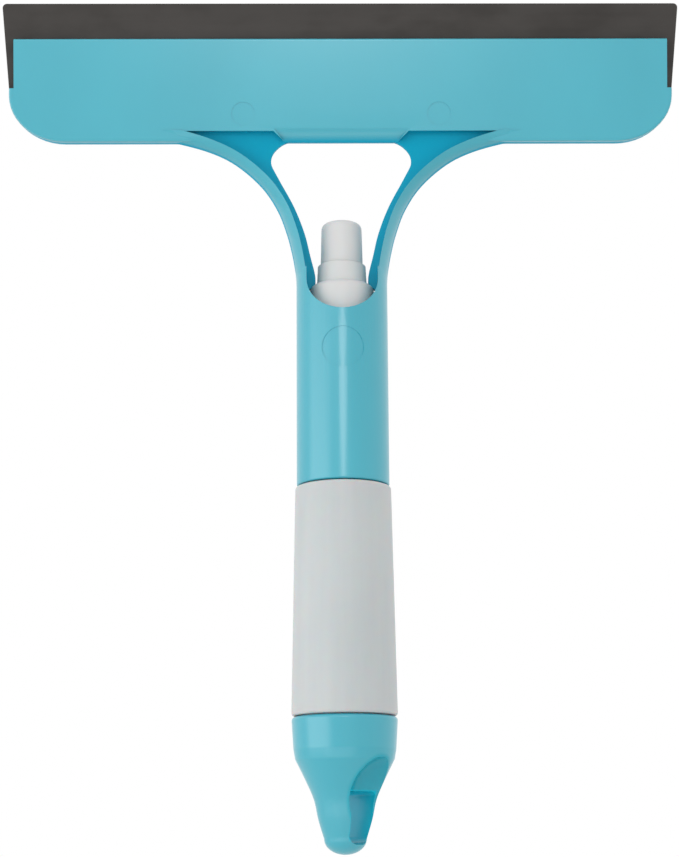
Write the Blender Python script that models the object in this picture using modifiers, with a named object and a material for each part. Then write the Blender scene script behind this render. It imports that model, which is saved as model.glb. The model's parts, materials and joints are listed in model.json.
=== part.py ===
"""Spray window squeegee: a one-piece head and handle tube, a rubber blade, and a spray bottle as the grip.

Metres, +Z up. The handle axis is Z. The head plate leans towards -Y, the user's side, and the spray
leaves towards +Y, the glass. The origin is on the handle axis at the middle of the grip. Heights are
written below from the bend, which is level with the plate's lower edge, and the empty at the bend
lifts every piece to its place above the origin.
"""
import math

import bmesh
import bpy
from mathutils import Matrix, Vector

# ---- overall ----
GRIP_BELOW_BEND = 0.130     # the origin, below the bend
LEAN = math.radians(12.5)   # the plate's lean from the handle axis
BEND_LENGTH = 0.030         # the stretch of arm over which the lean comes on
GAP = 0.0003                # clearance left between touching pieces
TURN_STEPS = 48             # sides of the large turned pieces
HANDLE_STEPS = 64           # sides of the handle tube
COLLAR_STEPS = 32           # sides of the collar and the button
SMALL_STEPS = 24            # sides of the small turned pieces
WIRE_STEPS = 16             # sides of the thinnest ones

# ---- head plate and blade ----
PLATE_WIDTH = 0.2060
PLATE_HEIGHT = 0.0320
PLATE_THICK = 0.0072
PLATE_CORNER_X = 0.0172     # the lower corners are quarter ellipses
PLATE_CORNER_Z = 0.0144
PLATE_EDGE_ROUND = 0.0008
SLOT_DEPTH = 0.0157
SLOT_WALL_INSET = 0.0016    # the slot walls stop short of the plate's ends
BLADE_THICK = 0.0024
BLADE_PROUD = 0.0113        # rubber above the plate's top edge
BLADE_FLARE = 0.0020        # each end leans out by this much at the tip
BLADE_CORNER = 0.0014
PIN_MARK_RADIUS = 0.0037    # ejector pin marks on the plate
PIN_MARK_X = 0.0304
PIN_MARK_Z = 0.0086
PIN_MARK_DEPTH = 0.00015
BLADE_OVER_PLATE = 0.0002   # the rubber's root is this much longer than the plate at each end

# ---- handle tube ----
TUBE_WALL = 0.0030
TUBE_ROOM = 0.00115         # between the collar and the tube's bore
TUBE_LENGTH = 0.0668
THROAT_DEPTH = 0.0145       # the U-shaped cut, below the tube's top
THROAT_INSET = 0.0001       # the cut is this much narrower than the bore at each side
TUBE_EDGE_ROUND = 0.0006
GATE_MARK_RADIUS = 0.0063   # moulding mark on the user's side of the tube
GATE_MARK_BELOW_THROAT = 0.0120
SNAP_ABOVE_TUBE_END = 0.0080
SNAP_BEAD = 0.0006          # the bead's height inside the tube
SNAP_LENGTH = 0.0030

# ---- arms ----
ARM_REACH = 0.0420          # from the plate's lower edge to the tube's top
ARM_RIB_FOOT = 0.00295      # rib thickness at the tube
ARM_RIB_HEAD = 0.0045       # rib thickness at the plate, most of it gained near there
ARM_SINK = 0.00005          # the rib's foot lies this far inside the tube wall
WEB_THICK = 0.0020
ARM_PIECES = 5              # straight stretches between two points of an arm's outline
RIB_FACETS = 8
# outer line of the rib: outwards from the tube's surface, and the share of the reach below the plate
ARM_OUTLINE = [(0.0, 1.10), (0.0003, 1.0), (0.0013, 0.857), (0.0030, 0.695), (0.0059, 0.512),
               (0.0109, 0.333), (0.0187, 0.171), (0.0269, 0.074), (0.0375, 0.005), (0.0445, -0.014)]
WEB_TOE_ROOM = 0.0004       # between the webs' toes and the ring that guides the button
WEB_FOOT_ROOM = 0.00125     # between the webs' feet and the collar
WEB_OVER_COLLAR = 0.00175   # the webs' toes reach no further over the collar's shoulder
POCKET_TOP = 0.0033         # the sunk web starts this far up the plate
POCKET_INNER = 0.0070       # where the pocket's top edge starts, outwards from the tube's surface
POCKET_OUTER = 0.0350
LIP_TOP = 0.0042            # the sloping lip over the window
LIP_OVER_WEB = 0.0002       # the lip's lower edge stands this far over the web's faces

# ---- sprayer ----
COLLAR_BELOW_TUBE_TOP = 0.0051
COLLAR_WALL = 0.00165
COLLAR_HEIGHT = 0.0145
COLLAR_DECK = 0.0014
COLLAR_CROWN = 0.0012       # the shoulder stands over the deck inside the guide by this
COLLAR_SHOULDER = 0.0021
GUIDE_HEIGHT = 0.0074       # the ring that the button slides in
GUIDE_WALL_TOP = 0.00055
GUIDE_WALL_FOOT = 0.00085
GUIDE_ROUND = 0.0002
BUTTON_RADIUS_TOP = 0.0062
BUTTON_RADIUS_FOOT = 0.00655
BUTTON_ABOVE_GUIDE = 0.0142
BUTTON_WALL = 0.0012
BUTTON_ROUND = 0.0020
BUTTON_IN_GUIDE = 0.0016    # how far the button's skirt starts inside its guide
BUTTON_ROOF = 0.0097        # solid top of the button
BUTTON_CROWN = 0.0005       # the top's middle stands this far over its rim
BOSS_WALL = 0.0014          # the button's socket for the stem
NOZZLE_BELOW_TOP = 0.0055
NOZZLE_RADIUS = 0.0018
NOZZLE_LENGTH = 0.0024
ORIFICE_RADIUS = 0.00025
NOZZLE_DISH = 0.0006        # depth of the hollow round the orifice
CHANNEL_RADIUS = 0.0007
STEM_RADIUS = 0.0021
STEM_BORE = 0.0009
STEM_ENTRY = 0.0077         # stem inside the button
STEM_FOOT_ROOM = 0.0004     # between the stem's foot and the piston's path
STEM_FOOT_THICK = 0.0010
STEM_PORT_RADIUS = 0.0005
PISTON_LENGTH = 0.0040
PISTON_WAIST = 0.0003       # the waist between the lips is sunk by this
CYLINDER_BORE = 0.0034
CYLINDER_WALL = 0.0009
SPRING_LENGTH = 0.0178
SPRING_WIRE = 0.00025
SPRING_ROOM = 0.0002        # between the coil and the piston's path
SPRING_TURNS = 6
SPRING_POINTS = 10          # points in one turn of the spring
FLANGE_THICK = 0.0012
GLAND_FLANGE = 0.0008
GLAND_INSET = 0.0013        # the gland's flange is this much smaller than the cylinder's
GLAND_PLUG = 0.0036
GASKET_THICK = 0.0010
BALL_RADIUS = 0.0012
BALL_LIFT = 0.0008
BALL_ROOM = 0.0006          # around the ball
BALL_LIP = 0.0010           # the ledge that holds the ball down and the spring up
BALL_LIP_INSET = 0.0002     # the hole in the ledge is this much smaller than the ball
VALVE_FLOOR = 0.0013        # between the seat and the dip tube's socket
CYLINDER_TAPER = 0.0020
INLET_RADIUS = 0.0008
DIP_RADIUS = 0.0016
DIP_BORE = 0.0009
DIP_SOCKET = 0.0075
DIP_ABOVE_CAP = 0.0090      # free space under the dip tube

# ---- bottle ----
NECK_RADIUS = 0.0079        # the neck takes the collar, and the tube takes both
NECK_WALL = 0.0014
BOTTLE_WALL = 0.0012
BOTTLE_SHOULDER = 0.0032
GRIP_STEP = 0.00045         # the grip's top stands out from the tube by this
GRIP_FLARE = 0.00125        # and its foot from its top by this
GRIP_LENGTH = 0.0684
GRIP_EDGE_ROUND = 0.0008
SHOULDER_ROUND = 0.0015
CAP_NECK_LENGTH = 0.0076

# ---- end cap ----
CAP_WALL = 0.0021
CAP_RIM_ROUND = 0.0010
CAP_SEAL_THICK = 0.0010
CAP_SEAL_BORE = 0.0090
CAP_FLOOR_ROUND = 0.0005
CAP_SKIRT_LENGTH = 0.0095
CAP_SKIRT_TAPER = 0.0006
CAP_SKIRT_ROUND = 0.0040
# outer line of the tail: radius and depth below the rim
CAP_TAIL = [(0.0146, 0.0123), (0.0117, 0.0181), (0.0092, 0.0238), (0.0079, 0.0296), (0.0062, 0.0352)]
CAP_LENGTH = 0.0397         # the tip is half an egg below the last point of the tail
EYE_TURN = math.radians(47)  # about the handle axis, from the user's side towards +X
EYE_TOP = 0.0216
EYE_FOOT = 0.0369
EYE_HALF_TOP = 0.0058
EYE_HALF_FOOT = 0.0036
EYE_ROUND = 0.0026
SCOOP_OUT = 0.0160           # centre of the hollow that flares each mouth of the eye
SCOOP_DEPTH = 0.0242
SCOOP_SIZE = (0.0090, 0.0121, 0.0122)

# ---- levels, from the bend downwards ----
TUBE_TOP = -ARM_REACH
TUBE_END = TUBE_TOP - TUBE_LENGTH
THROAT_END = TUBE_TOP - THROAT_DEPTH
DECK_TOP = TUBE_TOP - COLLAR_BELOW_TUBE_TOP
DECK_UNDER = DECK_TOP - COLLAR_DECK
COLLAR_FOOT = DECK_TOP - COLLAR_HEIGHT
GUIDE_TOP = DECK_TOP + GUIDE_HEIGHT
BUTTON_TOP = GUIDE_TOP + BUTTON_ABOVE_GUIDE
BUTTON_FOOT = GUIDE_TOP - BUTTON_IN_GUIDE
STEM_TOP = BUTTON_FOOT + STEM_ENTRY
GLAND_TOP = DECK_UNDER - GAP
FLANGE_TOP = GLAND_TOP - GLAND_FLANGE - GAP
FLANGE_UNDER = FLANGE_TOP - FLANGE_THICK
GASKET_TOP = FLANGE_UNDER - GAP
NECK_TOP = GASKET_TOP - GASKET_THICK - GAP
PISTON_TOP = FLANGE_TOP - GLAND_PLUG - GAP
STEM_FOOT_TOP = PISTON_TOP - PISTON_LENGTH - GAP
SPRING_TOP = STEM_FOOT_TOP - STEM_FOOT_THICK - GAP
SPRING_SEAT = SPRING_TOP - SPRING_LENGTH - GAP
BALL_CHAMBER_TOP = SPRING_SEAT - BALL_LIP
BALL_CENTRE = BALL_CHAMBER_TOP - GAP - BALL_LIFT - BALL_RADIUS
BALL_CHAMBER_RADIUS = BALL_RADIUS + BALL_ROOM
SEAT_APEX = BALL_CENTRE - (BALL_RADIUS + GAP) * math.sqrt(2)  # a 45 degree cone under the ball
SEAT_TOP = SEAT_APEX + BALL_CHAMBER_RADIUS
SEAT_FOOT = SEAT_APEX + INLET_RADIUS
SOCKET_TOP = SEAT_FOOT - VALVE_FLOOR
SOCKET_END = SOCKET_TOP - DIP_SOCKET
GRIP_TOP = TUBE_END - GAP
GRIP_END = GRIP_TOP - GRIP_LENGTH
CAP_NECK_END = GRIP_END - CAP_NECK_LENGTH
CAP_RIM = GRIP_END - GAP
SEAL_TOP = CAP_NECK_END - GAP
CAP_FLOOR = SEAL_TOP - CAP_SEAL_THICK - GAP
DIP_END = CAP_NECK_END + DIP_ABOVE_CAP
SNAP_MIDDLE = TUBE_END + SNAP_ABOVE_TUBE_END

# ---- radii, from the bottle's neck outwards and from the stem outwards ----
COLLAR_BORE = NECK_RADIUS + GAP
COLLAR_RADIUS = COLLAR_BORE + COLLAR_WALL
TUBE_BORE = COLLAR_RADIUS + TUBE_ROOM
TUBE_RADIUS = TUBE_BORE + TUBE_WALL
BOTTLE_RADIUS = TUBE_BORE - GAP
GRIP_RADIUS_TOP = TUBE_RADIUS + GRIP_STEP
GRIP_RADIUS_FOOT = GRIP_RADIUS_TOP + GRIP_FLARE
CAP_RADIUS = GRIP_RADIUS_FOOT
CAP_BORE = CAP_RADIUS - CAP_WALL
CAP_NECK_RADIUS = CAP_BORE - GAP
GUIDE_BORE = BUTTON_RADIUS_FOOT + GAP
GUIDE_RADIUS = GUIDE_BORE + GUIDE_WALL_FOOT
STEM_SOCKET = STEM_RADIUS + GAP
PISTON_RADIUS = CYLINDER_BORE - GAP
STEM_FOOT_RADIUS = PISTON_RADIUS - STEM_FOOT_ROOM
CYLINDER_RADIUS = CYLINDER_BORE + CYLINDER_WALL
DECK_HOLE = CYLINDER_RADIUS + GAP
DIP_SOCKET_BORE = DIP_RADIUS + GAP

# edge of the window between the arms, in the arm outline's terms and at the same stations
WEB_TOE = max(GUIDE_RADIUS + WEB_TOE_ROOM, COLLAR_RADIUS - WEB_OVER_COLLAR) - TUBE_RADIUS
WEB_FOOT = COLLAR_RADIUS + WEB_FOOT_ROOM - TUBE_RADIUS
WINDOW_EDGE = [(WEB_FOOT, 1.14), (WEB_TOE, 1.062), (WEB_TOE + 0.0017, 0.857), (-0.0024, 0.681),
               (0.0008, 0.483), (0.0056, 0.269), (0.0078, 0.155), (0.0067, 0.067), (0.0026, 0.0),
               (-0.0040, -0.007)]


# ---------------------------------------------------------------- helpers

def clear_scene():
    for item in list(bpy.data.objects):
        bpy.data.objects.remove(item)


def new_collection(name):
    made = bpy.data.collections.new(name)
    bpy.context.scene.collection.children.link(made)
    return made


def new_material(name, colour, roughness, metallic=0.0, alpha=1.0):
    made = bpy.data.materials.new(name)
    made.use_nodes = True
    shader = made.node_tree.nodes["Principled BSDF"]
    shader.inputs["Base Color"].default_value = (*colour, 1.0)
    shader.inputs["Roughness"].default_value = roughness
    shader.inputs["Metallic"].default_value = metallic
    shader.inputs["Alpha"].default_value = alpha
    return made


def new_empty(name, location, turn=0.0, parent=None):
    made = bpy.data.objects.new(name, None)
    made.location = location
    made.rotation_euler.x = turn
    made.parent = parent
    PARTS.objects.link(made)
    return made


def place(name, mesh, parent, material=None):
    """A part where it has a material, and a hidden cutter or blank where it has none."""
    made = bpy.data.objects.new(name, mesh)
    made.parent = parent
    if material:
        mesh.materials.append(material)
        PARTS.objects.link(made)
    else:
        made.hide_render = True
        made.display_type = "WIRE"
        CUTTERS.objects.link(made)
    return made


def mesh_from(name, bm):
    bmesh.ops.recalc_face_normals(bm, faces=bm.faces)
    mesh = bpy.data.meshes.new(name)
    bm.to_mesh(mesh)
    bm.free()
    mesh.shade_smooth()
    mesh.set_sharp_from_angle(angle=math.radians(40))
    return mesh


def combine(target, operation, tool):
    step = target.modifiers.new(operation.lower(), "BOOLEAN")
    step.operation = operation
    step.solver = "EXACT"
    step.object = tool


def cut(target, tool):
    combine(target, "DIFFERENCE", tool)


def join(target, tool):
    combine(target, "UNION", tool)


def rounded_path(corners, closed=True, pieces=3):
    """Corners are (x, z) or (x, z, radius); each radius becomes a short arc."""
    path = []
    last = len(corners) - 1
    for index, corner in enumerate(corners):
        here = Vector(corner[:2])
        if len(corner) == 2 or (not closed and index in (0, last)):
            path.append(here)
            continue
        back = (Vector(corners[index - 1][:2]) - here).normalized()
        ahead = (Vector(corners[(index + 1) % len(corners)][:2]) - here).normalized()
        half = back.angle(ahead) / 2
        centre = here + (back + ahead).normalized() * corner[2] / math.sin(half)
        spoke = here + back * corner[2] / math.tan(half) - centre
        side = 1 if back.x * ahead.y < back.y * ahead.x else -1
        for step in range(pieces + 1):
            turn = side * (math.pi - 2 * half) * step / pieces
            path.append(centre + Matrix.Rotation(turn, 2) @ spoke)
    return path


def smooth_line(points, pieces):
    """A Catmull-Rom curve through the points, as short chords."""
    points = [Vector(point) for point in points]
    ends = [2 * points[0] - points[1], *points, 2 * points[-1] - points[-2]]
    line = []
    for index in range(1, len(ends) - 2):
        before, start, end, after = ends[index - 1:index + 3]
        for step in range(pieces):
            t = step / pieces
            line.append(0.5 * (2 * start + (end - before) * t
                               + (2 * before - 5 * start + 4 * end - after) * t ** 2
                               + (3 * start - before - 3 * end + after) * t ** 3))
    return [*line, points[-1]]


def turned(name, profile, parent, material=None, steps=SMALL_STEPS, closed=True):
    """Turns a profile of (radius, z) points about Z; it runs down the outer side."""
    mesh = bpy.data.meshes.new(name)
    edges = [(i, i + 1) for i in range(len(profile) - 1)]
    if closed:
        edges.append((len(profile) - 1, 0))
    mesh.from_pydata([(r, 0, z) for r, z in profile], edges, [])
    made = place(name, mesh, parent, material)
    screw = made.modifiers.new("turn", "SCREW")
    screw.steps = screw.render_steps = steps
    screw.use_merge_vertices = True
    screw.merge_threshold = 0.00001
    screw.use_smooth_shade = True
    return made


def prism(name, outline, depth, parent, material=None):
    """A flat outline of (x, z) points with a thickness along Y."""
    bm = bmesh.new()
    face = bm.faces.new([bm.verts.new((x, -depth / 2, z)) for x, z in outline])
    grown = bmesh.ops.extrude_face_region(bm, geom=[face])
    moved = [item for item in grown["geom"] if isinstance(item, bmesh.types.BMVert)]
    bmesh.ops.translate(bm, verts=moved, vec=(0, depth, 0))
    return place(name, mesh_from(name, bm), parent, material)


def rod(name, radius, start, end, parent, steps=SMALL_STEPS):
    """A plain cylinder from one point to another, as a cutter."""
    start, end = Vector(start), Vector(end)
    bm = bmesh.new()
    bmesh.ops.create_cone(bm, cap_ends=True, segments=steps, radius1=radius, radius2=radius,
                          depth=(end - start).length)
    turn = Vector((0, 0, 1)).rotation_difference(end - start).to_matrix().to_4x4()
    bm.transform(Matrix.Translation((start + end) / 2) @ turn)
    return place(name, mesh_from(name, bm), parent)


def lofted(name, sections, parent):
    """A closed body through rings of points, as a blank."""
    bm = bmesh.new()
    rings = [[bm.verts.new(point) for point in ring] for ring in sections]
    for low, high in zip(rings, rings[1:]):
        for i in range(len(low)):
            bm.faces.new((low[i - 1], low[i], high[i], high[i - 1]))
    bm.faces.new(rings[0])
    bm.faces.new(rings[-1])
    return place(name, mesh_from(name, bm), parent)


def bent(point):
    """Carries a point of the straight arms round the bend towards the user's side."""
    x, y, z = point
    radius = BEND_LENGTH / LEAN
    angle = min(max((z + BEND_LENGTH) / radius, 0.0), LEAN)
    past = z + BEND_LENGTH - angle * radius
    along = Vector((0, -math.sin(angle), math.cos(angle)))
    across = Vector((0, math.cos(angle), math.sin(angle)))
    middle = Vector((x, -radius * (1 - math.cos(angle)), radius * math.sin(angle) - BEND_LENGTH))
    return middle + along * past + across * y


# ---------------------------------------------------------------- head and handle

def arm_lines():
    """The rib's outer line and the window's edge, station by station."""
    lines = []
    for outline in (ARM_OUTLINE, WINDOW_EDGE):
        points = [(TUBE_RADIUS + out, -ARM_REACH * share) for out, share in outline]
        lines.append(smooth_line(points, ARM_PIECES))
    return lines


def rib_stations():
    """Each point of the rib's outer line, with the way inwards, its share of the length and its thickness."""
    outer, _ = arm_lines()
    lengths = [0.0]
    for start, end in zip(outer, outer[1:]):
        lengths.append(lengths[-1] + (end - start).length)
    stations = []
    for index, point in enumerate(outer):
        ahead = outer[min(index + 1, len(outer) - 1)] - outer[max(index - 1, 0)]
        inwards = Vector((-ahead.y, ahead.x)).normalized()
        share = lengths[index] / lengths[-1]
        thick = ARM_RIB_FOOT + (ARM_RIB_HEAD - ARM_RIB_FOOT) * share ** 3
        stations.append((point, inwards, share, thick))
    return stations


def rib_inner_line():
    return [point + inwards * thick for point, inwards, _, thick in rib_stations()]


def rib_sections():
    """D-shaped sections, round outside, that shrink from the tube wall to the plate's edge."""
    foot_half = math.sqrt(TUBE_RADIUS ** 2 - (TUBE_RADIUS - ARM_RIB_FOOT) ** 2)
    head_half = PLATE_THICK / 2 - ARM_SINK
    sections = []
    for point, inwards, share, thick in rib_stations():
        half = foot_half + (head_half - foot_half) * share - ARM_SINK
        radius = (half ** 2 + thick ** 2) / (2 * thick)
        spread = math.asin(min(half / radius, 1.0))
        ring = []
        for step in range(RIB_FACETS + 1):
            angle = spread * (2 * step / RIB_FACETS - 1)
            depth = radius * (1 - math.cos(angle)) + ARM_SINK
            flat = point + inwards * depth
            ring.append(bent((flat.x, radius * math.sin(angle), flat.y)))
        sections.append(ring)
    return sections


def web_sections():
    """The thin web from the middle of the rib to the window's edge, and on up into the plate."""
    outer, edge = arm_lines()
    half = WEB_THICK / 2
    sections = []
    for index, (rib, window) in enumerate(zip(outer, edge)):
        ahead = outer[min(index + 1, len(outer) - 1)] - outer[max(index - 1, 0)]
        inwards = Vector((-ahead.y, ahead.x)).normalized()
        middle = rib + inwards * ARM_RIB_FOOT / 2
        sections.append([bent((p.x, y, p.y)) for p, y in
                         ((middle, -half), (window, -half), (window, half), (middle, half))])
    top = POCKET_TOP + WEB_THICK
    ends = (outer[-1].x, edge[-1].x)
    sections.append([bent((x, y, top)) for x, y in
                     ((ends[0], -half), (ends[1], -half), (ends[1], half), (ends[0], half))])
    return sections


def mirrored(item):
    step = item.modifiers.new("other side", "MIRROR")
    step.use_mirror_merge = False
    return item


def plate_outline():
    half = PLATE_WIDTH / 2
    pieces = 12
    right = []
    for step in range(pieces + 1):
        angle = math.pi / 2 * step / pieces
        right.append((half - PLATE_CORNER_X * (1 - math.sin(angle)),
                      PLATE_CORNER_Z * (1 - math.cos(angle))))
    right.append((half, PLATE_HEIGHT))
    return right + [(-x, z) for x, z in reversed(right)]


def make_plate(lean):
    """The plate with its soft edges, its pockets and the sloping lip over the window."""
    plate = prism("plate_blank", plate_outline(), PLATE_THICK, lean)
    soften = plate.modifiers.new("soft edges", "BEVEL")
    soften.width = PLATE_EDGE_ROUND
    soften.segments = 2
    soften.limit_method = "ANGLE"
    soften.angle_limit = math.radians(50)
    half = PLATE_WIDTH / 2
    shoulder = PLATE_HEIGHT - SLOT_DEPTH + GAP  # level with the root of the rubber
    notch = [(half - SLOT_WALL_INSET, shoulder), (half * 2, shoulder), (half * 2, PLATE_HEIGHT * 2),
             (half - SLOT_WALL_INSET, PLATE_HEIGHT * 2)]
    cut(plate, mirrored(prism("notch_cutter", notch, PLATE_THICK * 2, lean)))
    inner = TUBE_RADIUS + POCKET_INNER
    floor = [point for point in rib_inner_line() if abs(point.y) < POCKET_TOP]
    pocket = [(inner - 2 * POCKET_TOP, -POCKET_TOP), *floor, (TUBE_RADIUS + POCKET_OUTER, POCKET_TOP),
              (inner, POCKET_TOP)]
    cut(plate, mirrored(prism("pocket_cutter", pocket, PLATE_THICK * 2, lean)))
    cut(plate, make_lip_cutter(lean, inner))
    return plate


def make_lip_cutter(lean, half_top):
    """Two wedges that slope the plate's faces down to the window's top edge."""
    face = PLATE_THICK / 2
    edge = WEB_THICK / 2 + LIP_OVER_WEB
    slope = (face - edge) / LIP_TOP
    splay = 0.75                # the lip's ends run outwards as they rise
    bm = bmesh.new()
    for side in (-1, 1):
        rows = []
        for height in (2 * LIP_TOP, -LIP_TOP):
            half = half_top + splay * (height - LIP_TOP)
            near = face + slope * (height - LIP_TOP)
            rows.append([bm.verts.new((x, side * y, height)) for x, y in
                         ((-half, near), (half, near), (half, 3 * face), (-half, 3 * face))])
        for i in range(4):
            bm.faces.new((rows[0][i - 1], rows[0][i], rows[1][i], rows[1][i - 1]))
        bm.faces.new(rows[0])
        bm.faces.new(rows[1])
    return place("lip_cutter", mesh_from("lip_cutter", bm), lean)


def make_pin_marks(lean):
    """Shallow round marks where the ejector pins pushed the plate out of its mould."""
    bm = bmesh.new()
    for side in (-1, 1):
        spot = Matrix.Translation((side * PIN_MARK_X, -PLATE_THICK / 2, PIN_MARK_Z))
        flat = Matrix.Rotation(math.pi / 2, 4, "X")
        bmesh.ops.create_cone(bm, cap_ends=True, segments=SMALL_STEPS, radius1=PIN_MARK_RADIUS,
                              radius2=PIN_MARK_RADIUS, depth=2 * PIN_MARK_DEPTH, matrix=spot @ flat)
    return place("pin_mark_cutter", mesh_from("pin_mark_cutter", bm), lean)


def make_gate_mark(bend):
    """A round patch on the tube, sunk a hair below its surface and curved with it."""
    height = THROAT_END - GATE_MARK_BELOW_THROAT
    mark = rod("gate_mark_cutter", GATE_MARK_RADIUS, (0, -TUBE_RADIUS / 2, height),
               (0, -TUBE_RADIUS * 2, height), bend, COLLAR_STEPS)
    core = TUBE_RADIUS - PIN_MARK_DEPTH
    reach = GATE_MARK_RADIUS * 1.5
    profile = [(0, height + reach), (core, height + reach), (core, height - reach), (0, height - reach)]
    cut(mark, turned("gate_mark_core", profile, bend, steps=HANDLE_STEPS, closed=False))
    return mark


def make_throat_cutter(bend):
    """The U that opens the tube's user side and glass side."""
    half = TUBE_BORE - THROAT_INSET
    above = TUBE_TOP + THROAT_DEPTH / 4
    pieces = 20
    outline = [(half, above)]
    for step in range(pieces + 1):
        angle = math.pi * step / pieces
        outline.append((half * math.cos(angle), THROAT_END + half - half * math.sin(angle)))
    outline.append((-half, above))
    return prism("throat_cutter", outline, TUBE_RADIUS * 3, bend)


def make_handle_frame(bend, lean, material):
    half = SNAP_LENGTH / 2
    tube = [(TUBE_RADIUS, TUBE_TOP), (TUBE_RADIUS, TUBE_END, TUBE_EDGE_ROUND),
            (TUBE_BORE, TUBE_END, TUBE_EDGE_ROUND), (TUBE_BORE, SNAP_MIDDLE - half),
            (TUBE_BORE - SNAP_BEAD, SNAP_MIDDLE), (TUBE_BORE, SNAP_MIDDLE + half), (TUBE_BORE, TUBE_TOP)]
    frame = turned("handle_frame", rounded_path(tube), bend, material, HANDLE_STEPS)
    cut(frame, make_throat_cutter(bend))
    join(frame, mirrored(lofted("rib_blank", rib_sections(), bend)))
    join(frame, mirrored(lofted("web_blank", web_sections(), bend)))
    join(frame, make_plate(lean))
    slot_foot = PLATE_HEIGHT - SLOT_DEPTH
    slot = [(-PLATE_WIDTH, PLATE_HEIGHT * 2), (-PLATE_WIDTH, slot_foot),
            (PLATE_WIDTH, slot_foot), (PLATE_WIDTH, PLATE_HEIGHT * 2)]
    cut(frame, prism("slot_cutter", slot, BLADE_THICK + 2 * GAP, lean))
    cut(frame, make_pin_marks(lean))
    cut(frame, make_gate_mark(bend))
    return frame


def make_blade(lean, material):
    """The rubber stands in the slot and is a little wider at its tip than at its root."""
    foot = PLATE_HEIGHT - SLOT_DEPTH + GAP
    tip = PLATE_HEIGHT + BLADE_PROUD
    narrow = PLATE_WIDTH / 2 + BLADE_OVER_PLATE
    wide = narrow + BLADE_FLARE
    outline = rounded_path([(narrow, foot), (wide, tip, BLADE_CORNER),
                            (-wide, tip, BLADE_CORNER), (-narrow, foot)])
    return prism("rubber_blade", outline, BLADE_THICK, lean, material)


# ---------------------------------------------------------------- bottle and end cap

def make_bottle(bend, material):
    half = SNAP_LENGTH / 2 + GAP
    groove = BOTTLE_RADIUS - SNAP_BEAD
    shoulder = COLLAR_FOOT - GAP
    shoulder_foot = shoulder - BOTTLE_SHOULDER
    inside = BOTTLE_RADIUS - BOTTLE_WALL
    neck_inside = CAP_NECK_RADIUS - BOTTLE_WALL
    step = GRIP_RADIUS_TOP - BOTTLE_RADIUS
    profile = [(NECK_RADIUS, NECK_TOP), (NECK_RADIUS, shoulder),
               (BOTTLE_RADIUS, shoulder_foot, SHOULDER_ROUND),
               (BOTTLE_RADIUS, SNAP_MIDDLE + half), (groove, SNAP_MIDDLE),
               (BOTTLE_RADIUS, SNAP_MIDDLE - half),
               (BOTTLE_RADIUS, GRIP_TOP), (GRIP_RADIUS_TOP, GRIP_TOP, GRIP_EDGE_ROUND),
               (GRIP_RADIUS_FOOT, GRIP_END, GRIP_EDGE_ROUND), (CAP_NECK_RADIUS, GRIP_END),
               (CAP_NECK_RADIUS, CAP_NECK_END), (neck_inside, CAP_NECK_END),
               (neck_inside, GRIP_END), (GRIP_RADIUS_FOOT - BOTTLE_WALL, GRIP_END + 2 * BOTTLE_WALL),
               (GRIP_RADIUS_TOP - BOTTLE_WALL, GRIP_TOP - BOTTLE_WALL - step / 2),
               (inside, GRIP_TOP + step / 2), (inside, shoulder_foot - BOTTLE_WALL / 2),
               (NECK_RADIUS - NECK_WALL, shoulder - BOTTLE_WALL / 2), (NECK_RADIUS - NECK_WALL, NECK_TOP)]
    return turned("bottle", rounded_path(profile), bend, material, TURN_STEPS)


def eye_turned(item):
    item.rotation_euler.z = EYE_TURN
    return item


def make_eye_cutter(cap_axis):
    """The hanging eye, straight through the tail."""
    corners = [(-EYE_HALF_TOP, -EYE_TOP, EYE_ROUND / 2), (EYE_HALF_TOP, -EYE_TOP, EYE_ROUND / 2),
               (EYE_HALF_FOOT, -EYE_FOOT, EYE_ROUND), (-EYE_HALF_FOOT, -EYE_FOOT, EYE_ROUND)]
    return eye_turned(prism("eye_cutter", rounded_path(corners, pieces=4), CAP_RADIUS * 3, cap_axis))


def make_scoop_cutter(cap_axis):
    """Egg-shaped hollows that flare the eye's roof at both mouths."""
    bm = bmesh.new()
    size = Matrix.Diagonal((*SCOOP_SIZE, 1.0))
    for side in (-1, 1):
        spot = Matrix.Translation((0, side * SCOOP_OUT, -SCOOP_DEPTH))
        bmesh.ops.create_uvsphere(bm, u_segments=SMALL_STEPS, v_segments=SMALL_STEPS // 2,
                                  radius=1.0, matrix=spot @ size)
    return eye_turned(place("scoop_cutter", mesh_from("scoop_cutter", bm), cap_axis))


def make_end_cap(cap_axis, material):
    floor = CAP_FLOOR - CAP_RIM
    tail = smooth_line([(r, -depth) for r, depth in CAP_TAIL], 3)
    rim = CAP_RIM_ROUND
    corners = [(0, floor), (CAP_BORE, floor, CAP_FLOOR_ROUND), (CAP_BORE, 0, rim / 3),
               (CAP_RADIUS, 0, rim), (CAP_RADIUS - CAP_SKIRT_TAPER, -CAP_SKIRT_LENGTH, CAP_SKIRT_ROUND),
               *[tuple(point) for point in tail]]
    path = rounded_path(corners, closed=False)
    radius, middle = tail[-1]
    pieces = 8
    for step in range(1, pieces):
        turn = math.pi / 2 * step / pieces
        path.append((radius * math.cos(turn), middle - (CAP_LENGTH + middle) * math.sin(turn)))
    path.append((0, -CAP_LENGTH))
    cap = turned("end_cap", path, cap_axis, material, TURN_STEPS, closed=False)
    cut(cap, make_eye_cutter(cap_axis))
    cut(cap, make_scoop_cutter(cap_axis))
    return cap


def make_end_cap_seal(cap_axis, material):
    top = SEAL_TOP - CAP_RIM
    ring = [(CAP_NECK_RADIUS, top), (CAP_NECK_RADIUS, top - CAP_SEAL_THICK),
            (CAP_SEAL_BORE, top - CAP_SEAL_THICK), (CAP_SEAL_BORE, top)]
    return turned("end_cap_seal", ring, cap_axis, material, TURN_STEPS)


# ---------------------------------------------------------------- sprayer

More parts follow.
